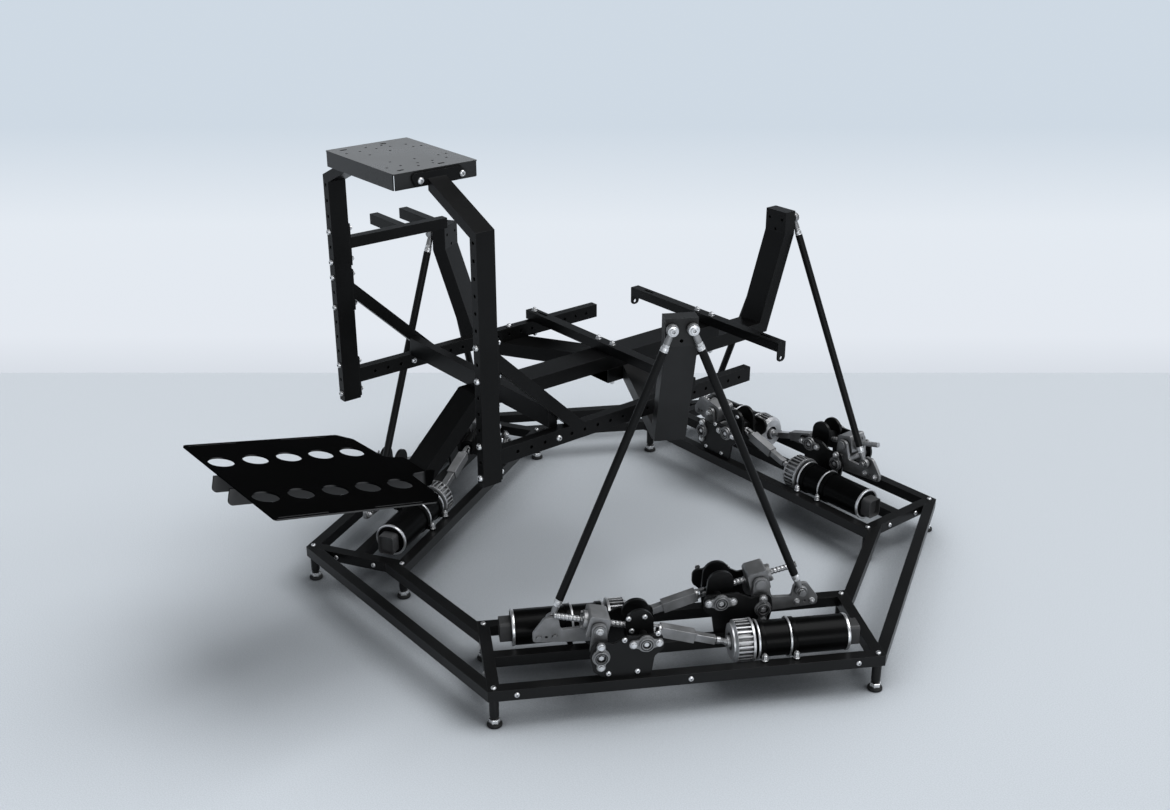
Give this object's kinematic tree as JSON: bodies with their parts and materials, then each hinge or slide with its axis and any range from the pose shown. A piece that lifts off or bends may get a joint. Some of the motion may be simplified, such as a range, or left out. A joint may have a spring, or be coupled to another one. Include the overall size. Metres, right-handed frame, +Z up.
{
  "type": "motion simulator platform",
  "caption": "Hexagonal base ring of screw driven levers whose pushrods carry a cockpit frame with wheel deck, seat bars and pedal plate.",
  "frame": {"origin": "on the floor at the middle of the base ring", "axes": "+Z up, -Y towards the pedals, the way the driver faces, +X to the driver's left-hand side as seen from the front camera side"},
  "size_m": [1.9068, 2.0769, 1.312],
  "materials": {
    "frame_black": "satin black powder coat",
    "motor_black": "smooth black enamel",
    "cast_grey": "blasted casting with machined faces",
    "ground_steel": "turned and ground steel",
    "zinc": "bright zinc plate",
    "foot_rubber": "matte black rubber"
  },
  "bodies": {
    "base": {"module_frame_right": "frame_black", "module_frame_rear": "frame_black", "module_frame_left": "frame_black", "link_rails": "frame_black", "levelling_feet": "foot_rubber", "drive_motors": "motor_black", "motor_hubs": "cast_grey", "drive_plates": "frame_black", "flange_bearings": "zinc", "base_fasteners": "zinc"},
    "platform": {"arm_right": "frame_black", "arm_rear": "frame_black", "arm_left": "frame_black", "central_beam": "frame_black", "seat_rail_right": "frame_black", "seat_rail_left": "frame_black", "upright_right": "frame_black", "upright_left": "frame_black", "wheel_deck": "frame_black", "front_cross_beam": "frame_black", "seat_bars": "frame_black", "shifter_arm": "frame_black", "pedal_plate": "frame_black", "platform_fasteners": "zinc"},
    "lever_right_outer": {"lever_right_outer": "cast_grey"},
    "pushrod_right_outer": {"pushrod_right_outer": "frame_black"},
    "screw_carrier_right_outer": {"screw_carrier_right_outer": "frame_black"},
    "drive_nut_right_outer": {"drive_nut_right_outer": "cast_grey"},
    "drive_screw_right_outer": {"drive_screw_right_outer": "ground_steel"},
    "cardan_shaft_right_outer": {"cardan_shaft_right_outer": "ground_steel"},
    "lever_right_inner": {"lever_right_inner": "cast_grey"},
    "pushrod_right_inner": {"pushrod_right_inner": "frame_black"},
    "screw_carrier_right_inner": {"screw_carrier_right_inner": "frame_black"},
    "drive_nut_right_inner": {"drive_nut_right_inner": "cast_grey"},
    "drive_screw_right_inner": {"drive_screw_right_inner": "ground_steel"},
    "cardan_shaft_right_inner": {"cardan_shaft_right_inner": "ground_steel"},
    "lever_rear_outer": {"lever_rear_outer": "cast_grey"},
    "pushrod_rear_outer": {"pushrod_rear_outer": "frame_black"},
    "screw_carrier_rear_outer": {"screw_carrier_rear_outer": "frame_black"},
    "drive_nut_rear_outer": {"drive_nut_rear_outer": "cast_grey"},
    "drive_screw_rear_outer": {"drive_screw_rear_outer": "ground_steel"},
    "cardan_shaft_rear_outer": {"cardan_shaft_rear_outer": "ground_steel"},
    "lever_rear_inner": {"lever_rear_inner": "cast_grey"},
    "pushrod_rear_inner": {"pushrod_rear_inner": "frame_black"},
    "screw_carrier_rear_inner": {"screw_carrier_rear_inner": "frame_black"},
    "drive_nut_rear_inner": {"drive_nut_rear_inner": "cast_grey"},
    "drive_screw_rear_inner": {"drive_screw_rear_inner": "ground_steel"},
    "cardan_shaft_rear_inner": {"cardan_shaft_rear_inner": "ground_steel"},
    "lever_left_outer": {"lever_left_outer": "cast_grey"},
    "pushrod_left_outer": {"pushrod_left_outer": "frame_black"},
    "screw_carrier_left_outer": {"screw_carrier_left_outer": "frame_black"},
    "drive_nut_left_outer": {"drive_nut_left_outer": "cast_grey"},
    "drive_screw_left_outer": {"drive_screw_left_outer": "ground_steel"},
    "cardan_shaft_left_outer": {"cardan_shaft_left_outer": "ground_steel"},
    "lever_left_inner": {"lever_left_inner": "cast_grey"},
    "pushrod_left_inner": {"pushrod_left_inner": "frame_black"},
    "screw_carrier_left_inner": {"screw_carrier_left_inner": "frame_black"},
    "drive_nut_left_inner": {"drive_nut_left_inner": "cast_grey"},
    "drive_screw_left_inner": {"drive_screw_left_inner": "ground_steel"},
    "cardan_shaft_left_inner": {"cardan_shaft_left_inner": "ground_steel"}
  },
  "joints": [
    {"name": "platform_heave", "type": "slide", "parent": "base", "child": "platform", "axis": [0, 0, 1], "range_m": [-0.025, 0.025]},
    {"name": "lever_turn_right_outer", "type": "hinge", "parent": "base", "child": "lever_right_outer", "pos_m": [0.51853, -0.55687, 0.172], "axis": [0.866, -0.5, 0], "range_deg": [-12.51, 12.51]},
    {"name": "pushrod_turn_right_outer", "type": "hinge", "parent": "lever_right_outer", "child": "pushrod_right_outer", "pos_m": [0.41569, -0.61701, 0.2076], "axis": [0.866, -0.5, 0], "range_deg": [-13.11, 13.11]},
    {"name": "carrier_tilt_right_outer", "type": "hinge", "parent": "base", "child": "screw_carrier_right_outer", "pos_m": [0.57403, -0.46074, 0.2], "axis": [0.866, -0.5, 0], "range_deg": [-1.56, 1.56]},
    {"name": "nut_slide_right_outer", "type": "slide", "parent": "screw_carrier_right_outer", "child": "drive_nut_right_outer", "axis": [-0.4856, -0.8411, 0.2384], "range_m": [-0.01167, 0.01167]},
    {"name": "screw_spin_right_outer", "type": "hinge", "parent": "screw_carrier_right_outer", "child": "drive_screw_right_outer", "pos_m": [0.57403, -0.46074, 0.2], "axis": [-0.4856, -0.8411, 0.2384], "range_deg": [-413.39, 413.39]},
    {"name": "cardan_spin_right_outer", "type": "hinge", "parent": "base", "child": "cardan_shaft_right_outer", "pos_m": [0.5886, -0.43551, 0.19285], "axis": [0.478, 0.828, -0.2932], "range_deg": [-413.39, 413.39]},
    {"name": "lever_turn_right_inner", "type": "hinge", "parent": "base", "child": "lever_right_inner", "pos_m": [0.61336, -0.09663, 0.172], "axis": [-0.866, 0.5, 0], "range_deg": [-12.51, 12.51]},
    {"name": "pushrod_turn_right_inner", "type": "hinge", "parent": "lever_right_inner", "child": "pushrod_right_inner", "pos_m": [0.71621, -0.03649, 0.2076], "axis": [-0.866, 0.5, 0], "range_deg": [-13.11, 13.11]},
    {"name": "carrier_tilt_right_inner", "type": "hinge", "parent": "base", "child": "screw_carrier_right_inner", "pos_m": [0.55786, -0.19276, 0.2], "axis": [-0.866, 0.5, 0], "range_deg": [-1.56, 1.56]},
    {"name": "nut_slide_right_inner", "type": "slide", "parent": "screw_carrier_right_inner", "child": "drive_nut_right_inner", "axis": [0.4856, 0.8411, 0.2384], "range_m": [-0.01167, 0.01167]},
    {"name": "screw_spin_right_inner", "type": "hinge", "parent": "screw_carrier_right_inner", "child": "drive_screw_right_inner", "pos_m": [0.55786, -0.19276, 0.2], "axis": [0.4856, 0.8411, 0.2384], "range_deg": [-413.39, 413.39]},
    {"name": "cardan_spin_right_inner", "type": "hinge", "parent": "base", "child": "cardan_shaft_right_inner", "pos_m": [0.54329, -0.21799, 0.19285], "axis": [-0.478, -0.828, -0.2932], "range_deg": [-413.39, 413.39]},
    {"name": "lever_turn_rear_outer", "type": "hinge", "parent": "base", "child": "lever_rear_outer", "pos_m": [0.223, 0.7275, 0.172], "axis": [0, 1, 0], "range_deg": [-12.51, 12.51]},
    {"name": "pushrod_turn_rear_outer", "type": "hinge", "parent": "lever_rear_outer", "child": "pushrod_rear_outer", "pos_m": [0.3265, 0.6685, 0.2076], "axis": [0, 1, 0], "range_deg": [-13.11, 13.11]},
    {"name": "carrier_tilt_rear_outer", "type": "hinge", "parent": "base", "child": "screw_carrier_rear_outer", "pos_m": [0.112, 0.7275, 0.2], "axis": [0, 1, 0], "range_deg": [-1.56, 1.56]},
    {"name": "nut_slide_rear_outer", "type": "slide", "parent": "screw_carrier_rear_outer", "child": "drive_nut_rear_outer", "axis": [0.9712, 0, 0.2384], "range_m": [-0.01167, 0.01167]},
    {"name": "screw_spin_rear_outer", "type": "hinge", "parent": "screw_carrier_rear_outer", "child": "drive_screw_rear_outer", "pos_m": [0.112, 0.7275, 0.2], "axis": [0.9712, 0, 0.2384], "range_deg": [-413.39, 413.39]},
    {"name": "cardan_spin_rear_outer", "type": "hinge", "parent": "base", "child": "cardan_shaft_rear_outer", "pos_m": [0.08286, 0.7275, 0.19285], "axis": [-0.956, 0, -0.2932], "range_deg": [-413.39, 413.39]},
    {"name": "lever_turn_rear_inner", "type": "hinge", "parent": "base", "child": "lever_rear_inner", "pos_m": [-0.223, 0.5795, 0.172], "axis": [0, -1, 0], "range_deg": [-12.51, 12.51]},
    {"name": "pushrod_turn_rear_inner", "type": "hinge", "parent": "lever_rear_inner", "child": "pushrod_rear_inner", "pos_m": [-0.3265, 0.6385, 0.2076], "axis": [0, -1, 0], "range_deg": [-13.11, 13.11]},
    {"name": "carrier_tilt_rear_inner", "type": "hinge", "parent": "base", "child": "screw_carrier_rear_inner", "pos_m": [-0.112, 0.5795, 0.2], "axis": [0, -1, 0], "range_deg": [-1.56, 1.56]},
    {"name": "nut_slide_rear_inner", "type": "slide", "parent": "screw_carrier_rear_inner", "child": "drive_nut_rear_inner", "axis": [-0.9712, 0, 0.2384], "range_m": [-0.01167, 0.01167]},
    {"name": "screw_spin_rear_inner", "type": "hinge", "parent": "screw_carrier_rear_inner", "child": "drive_screw_rear_inner", "pos_m": [-0.112, 0.5795, 0.2], "axis": [-0.9712, 0, 0.2384], "range_deg": [-413.39, 413.39]},
    {"name": "cardan_spin_rear_inner", "type": "hinge", "parent": "base", "child": "cardan_shaft_rear_inner", "pos_m": [-0.08286, 0.5795, 0.19285], "axis": [0.956, 0, -0.2932], "range_deg": [-413.39, 413.39]},
    {"name": "lever_turn_left_outer", "type": "hinge", "parent": "base", "child": "lever_left_outer", "pos_m": [-0.51853, -0.55687, 0.172], "axis": [0.866, 0.5, 0], "range_deg": [-12.51, 12.51]},
    {"name": "pushrod_turn_left_outer", "type": "hinge", "parent": "lever_left_outer", "child": "pushrod_left_outer", "pos_m": [-0.41569, -0.61701, 0.2076], "axis": [0.866, 0.5, 0], "range_deg": [-13.11, 13.11]},
    {"name": "carrier_tilt_left_outer", "type": "hinge", "parent": "base", "child": "screw_carrier_left_outer", "pos_m": [-0.57403, -0.46074, 0.2], "axis": [0.866, 0.5, 0], "range_deg": [-1.56, 1.56]},
    {"name": "nut_slide_left_outer", "type": "slide", "parent": "screw_carrier_left_outer", "child": "drive_nut_left_outer", "axis": [0.4856, -0.8411, 0.2384], "range_m": [-0.01167, 0.01167]},
    {"name": "screw_spin_left_outer", "type": "hinge", "parent": "screw_carrier_left_outer", "child": "drive_screw_left_outer", "pos_m": [-0.57403, -0.46074, 0.2], "axis": [0.4856, -0.8411, 0.2384], "range_deg": [-413.39, 413.39]},
    {"name": "cardan_spin_left_outer", "type": "hinge", "parent": "base", "child": "cardan_shaft_left_outer", "pos_m": [-0.5886, -0.43551, 0.19285], "axis": [-0.478, 0.828, -0.2932], "range_deg": [-413.39, 413.39]},
    {"name": "lever_turn_left_inner", "type": "hinge", "parent": "base", "child": "lever_left_inner", "pos_m": [-0.61336, -0.09663, 0.172], "axis": [-0.866, -0.5, 0], "range_deg": [-12.51, 12.51]},
    {"name": "pushrod_turn_left_inner", "type": "hinge", "parent": "lever_left_inner", "child": "pushrod_left_inner", "pos_m": [-0.71621, -0.03649, 0.2076], "axis": [-0.866, -0.5, 0], "range_deg": [-13.11, 13.11]},
    {"name": "carrier_tilt_left_inner", "type": "hinge", "parent": "base", "child": "screw_carrier_left_inner", "pos_m": [-0.55786, -0.19276, 0.2], "axis": [-0.866, -0.5, 0], "range_deg": [-1.56, 1.56]},
    {"name": "nut_slide_left_inner", "type": "slide", "parent": "screw_carrier_left_inner", "child": "drive_nut_left_inner", "axis": [-0.4856, 0.8411, 0.2384], "range_m": [-0.01167, 0.01167]},
    {"name": "screw_spin_left_inner", "type": "hinge", "parent": "screw_carrier_left_inner", "child": "drive_screw_left_inner", "pos_m": [-0.55786, -0.19276, 0.2], "axis": [-0.4856, 0.8411, 0.2384], "range_deg": [-413.39, 413.39]},
    {"name": "cardan_spin_left_inner", "type": "hinge", "parent": "base", "child": "cardan_shaft_left_inner", "pos_m": [-0.54329, -0.21799, 0.19285], "axis": [0.478, -0.828, -0.2932], "range_deg": [-413.39, 413.39]}
  ],
  "couplings": [
    {"joint": "lever_turn_right_outer", "follows": "platform_heave", "rad_per_m": -8.5262},
    {"joint": "pushrod_turn_right_outer", "follows": "platform_heave", "rad_per_m": 8.9403},
    {"joint": "carrier_tilt_right_outer", "follows": "platform_heave", "rad_per_m": -0.87792},
    {"joint": "nut_slide_right_outer", "follows": "platform_heave", "ratio": -0.45488},
    {"joint": "screw_spin_right_outer", "follows": "platform_heave", "rad_per_m": -285.81},
    {"joint": "cardan_spin_right_outer", "follows": "platform_heave", "rad_per_m": 285.81},
    {"joint": "lever_turn_right_inner", "follows": "platform_heave", "rad_per_m": -8.5262},
    {"joint": "pushrod_turn_right_inner", "follows": "platform_heave", "rad_per_m": 8.9403},
    {"joint": "carrier_tilt_right_inner", "follows": "platform_heave", "rad_per_m": -0.87792},
    {"joint": "nut_slide_right_inner", "follows": "platform_heave", "ratio": -0.45488},
    {"joint": "screw_spin_right_inner", "follows": "platform_heave", "rad_per_m": -285.81},
    {"joint": "cardan_spin_right_inner", "follows": "platform_heave", "rad_per_m": 285.81},
    {"joint": "lever_turn_rear_outer", "follows": "platform_heave", "rad_per_m": -8.5262},
    {"joint": "pushrod_turn_rear_outer", "follows": "platform_heave", "rad_per_m": 8.9403},
    {"joint": "carrier_tilt_rear_outer", "follows": "platform_heave", "rad_per_m": -0.87792},
    {"joint": "nut_slide_rear_outer", "follows": "platform_heave", "ratio": -0.45488},
    {"joint": "screw_spin_rear_outer", "follows": "platform_heave", "rad_per_m": -285.81},
    {"joint": "cardan_spin_rear_outer", "follows": "platform_heave", "rad_per_m": 285.81},
    {"joint": "lever_turn_rear_inner", "follows": "platform_heave", "rad_per_m": -8.5262},
    {"joint": "pushrod_turn_rear_inner", "follows": "platform_heave", "rad_per_m": 8.9403},
    {"joint": "carrier_tilt_rear_inner", "follows": "platform_heave", "rad_per_m": -0.87792},
    {"joint": "nut_slide_rear_inner", "follows": "platform_heave", "ratio": -0.45488},
    {"joint": "screw_spin_rear_inner", "follows": "platform_heave", "rad_per_m": -285.81},
    {"joint": "cardan_spin_rear_inner", "follows": "platform_heave", "rad_per_m": 285.81},
    {"joint": "lever_turn_left_outer", "follows": "platform_heave", "rad_per_m": -8.5262},
    {"joint": "pushrod_turn_left_outer", "follows": "platform_heave", "rad_per_m": 8.9403},
    {"joint": "carrier_tilt_left_outer", "follows": "platform_heave", "rad_per_m": -0.87792},
    {"joint": "nut_slide_left_outer", "follows": "platform_heave", "ratio": -0.45488},
    {"joint": "screw_spin_left_outer", "follows": "platform_heave", "rad_per_m": -285.81},
    {"joint": "cardan_spin_left_outer", "follows": "platform_heave", "rad_per_m": 285.81},
    {"joint": "lever_turn_left_inner", "follows": "platform_heave", "rad_per_m": -8.5262},
    {"joint": "pushrod_turn_left_inner", "follows": "platform_heave", "rad_per_m": 8.9403},
    {"joint": "carrier_tilt_left_inner", "follows": "platform_heave", "rad_per_m": -0.87792},
    {"joint": "nut_slide_left_inner", "follows": "platform_heave", "ratio": -0.45488},
    {"joint": "screw_spin_left_inner", "follows": "platform_heave", "rad_per_m": -285.81},
    {"joint": "cardan_spin_left_inner", "follows": "platform_heave", "rad_per_m": 285.81}
  ]
}
